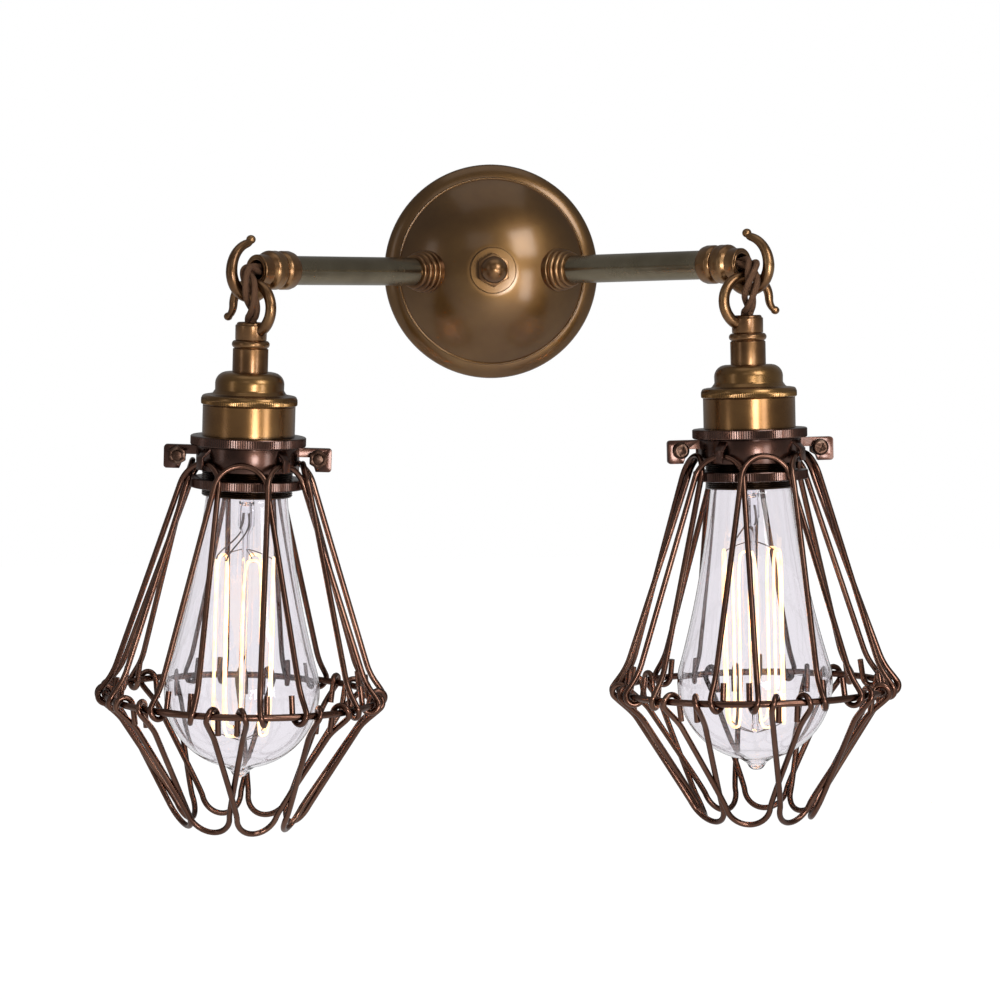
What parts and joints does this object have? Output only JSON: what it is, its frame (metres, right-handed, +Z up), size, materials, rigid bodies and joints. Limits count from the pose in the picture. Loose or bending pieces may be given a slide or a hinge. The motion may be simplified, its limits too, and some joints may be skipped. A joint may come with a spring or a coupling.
{
  "type": "cage wall light",
  "caption": "Wall light with a domed rose, arms angled out and forward, and open hooks that hang lampholders inside bent-wire cages around long-filament bulbs.",
  "frame": {"origin": "middle of the rose in the plane of the wall", "axes": "+X along the wall to the viewer's right, +Y into the wall, +Z up; the arms point towards -Y"},
  "size_m": [0.3328, 0.1481, 0.2769],
  "materials": {
    "dark_bronze": "aged dark bronze lacquer",
    "antique_brass": "antiqued, satin",
    "copper_bronze": "antiqued reddish bronze, satin",
    "chocolate_ring": "dark brown lacquer, semi-gloss",
    "cage_wire": "dark bronzed steel wire",
    "steel": "zinc plated",
    "dark_fastener": "blackened, worn",
    "ceramic": "white glazed insulator",
    "terminal": "moulded",
    "clear_glass": "clear, gloss",
    "stem_glass": "clear, gloss",
    "filament_glow": "lit carbon filament",
    "cap_brass": "bright",
    "braided_flex": "braided dark brown"
  },
  "bodies": {
    "wall_part": {"wall_strap": "steel", "rose_stud": "steel", "rose": "dark_bronze", "cap_nut_washer": "dark_bronze", "cap_nut": "copper_bronze", "terminal_block": "terminal", "left_arm_flange": "copper_bronze", "left_arm_nut": "steel", "left_arm_tube": "antique_brass", "left_arm_coupler": "copper_bronze", "left_arm_hook": "copper_bronze", "left_flex": "braided_flex", "right_arm_flange": "copper_bronze", "right_arm_nut": "steel", "right_arm_tube": "antique_brass", "right_arm_coupler": "copper_bronze", "right_arm_hook": "copper_bronze", "right_flex": "braided_flex"},
    "left_lamp": {"left_crook": "copper_bronze", "left_neck": "copper_bronze", "left_grip_screw": "dark_fastener", "left_holder_cap": "antique_brass", "left_holder_body": "antique_brass", "left_holder_core": "ceramic", "left_screw_shell": "cap_brass", "left_centre_contact": "cap_brass", "left_collar_screw_half": "chocolate_ring", "left_collar_nut_half": "chocolate_ring", "left_clamp_screws": "dark_fastener", "left_clamp_nuts": "dark_fastener", "left_cage_arches": "cage_wire", "left_cage_hoop": "cage_wire", "left_cage_loops": "cage_wire"},
    "left_upper_shade_ring": {"left_upper_ring": "chocolate_ring"},
    "left_lower_shade_ring": {"left_lower_ring": "chocolate_ring"},
    "left_bulb": {"left_bulb_glass": "clear_glass", "left_bulb_cap": "cap_brass", "left_bulb_stem": "stem_glass", "left_filament": "filament_glow"},
    "right_lamp": {"right_crook": "copper_bronze", "right_neck": "copper_bronze", "right_grip_screw": "dark_fastener", "right_holder_cap": "antique_brass", "right_holder_body": "antique_brass", "right_holder_core": "ceramic", "right_screw_shell": "cap_brass", "right_centre_contact": "cap_brass", "right_collar_screw_half": "chocolate_ring", "right_collar_nut_half": "chocolate_ring", "right_clamp_screws": "dark_fastener", "right_clamp_nuts": "dark_fastener", "right_cage_arches": "cage_wire", "right_cage_hoop": "cage_wire", "right_cage_loops": "cage_wire"},
    "right_upper_shade_ring": {"right_upper_ring": "chocolate_ring"},
    "right_lower_shade_ring": {"right_lower_ring": "chocolate_ring"},
    "right_bulb": {"right_bulb_glass": "clear_glass", "right_bulb_cap": "cap_brass", "right_bulb_stem": "stem_glass", "right_filament": "filament_glow"}
  },
  "joints": [
    {"name": "left_lamp_swing", "type": "hinge", "parent": "wall_part", "child": "left_lamp", "pos_m": [-0.10219, -0.08769, -0.0056], "axis": [-0.7071, 0.7071, 0], "range_deg": [-10, 35], "deforming": ["left_flex"]},
    {"name": "left_bulb_turn", "type": "hinge", "parent": "left_lamp", "child": "left_bulb", "pos_m": [-0.10439, -0.08548, -0.07715], "axis": [0.0456, -0.0456, 0.9979], "continuous": true},
    {"name": "left_upper_ring_turn", "type": "hinge", "parent": "left_lamp", "child": "left_upper_shade_ring", "pos_m": [-0.10404, -0.08583, -0.06946], "axis": [0.0456, -0.0456, 0.9979], "continuous": true},
    {"name": "left_lower_ring_turn", "type": "hinge", "parent": "left_lamp", "child": "left_lower_shade_ring", "pos_m": [-0.10483, -0.08504, -0.08663], "axis": [0.0456, -0.0456, 0.9979], "continuous": true},
    {"name": "right_lamp_swing", "type": "hinge", "parent": "wall_part", "child": "right_lamp", "pos_m": [0.10219, -0.08769, -0.0056], "axis": [-0.891, -0.454, 0], "range_deg": [-10, 35], "deforming": ["right_flex"]},
    {"name": "right_bulb_turn", "type": "hinge", "parent": "right_lamp", "child": "right_bulb", "pos_m": [0.10163, -0.08797, -0.07721], "axis": [-0.0109, -0.0055, 0.9999], "continuous": true},
    {"name": "right_upper_ring_turn", "type": "hinge", "parent": "right_lamp", "child": "right_upper_shade_ring", "pos_m": [0.10154, -0.08801, -0.06951], "axis": [-0.0109, -0.0055, 0.9999], "continuous": true},
    {"name": "right_lower_ring_turn", "type": "hinge", "parent": "right_lamp", "child": "right_lower_shade_ring", "pos_m": [0.10173, -0.08792, -0.08671], "axis": [-0.0109, -0.0055, 0.9999], "continuous": true}
  ]
}
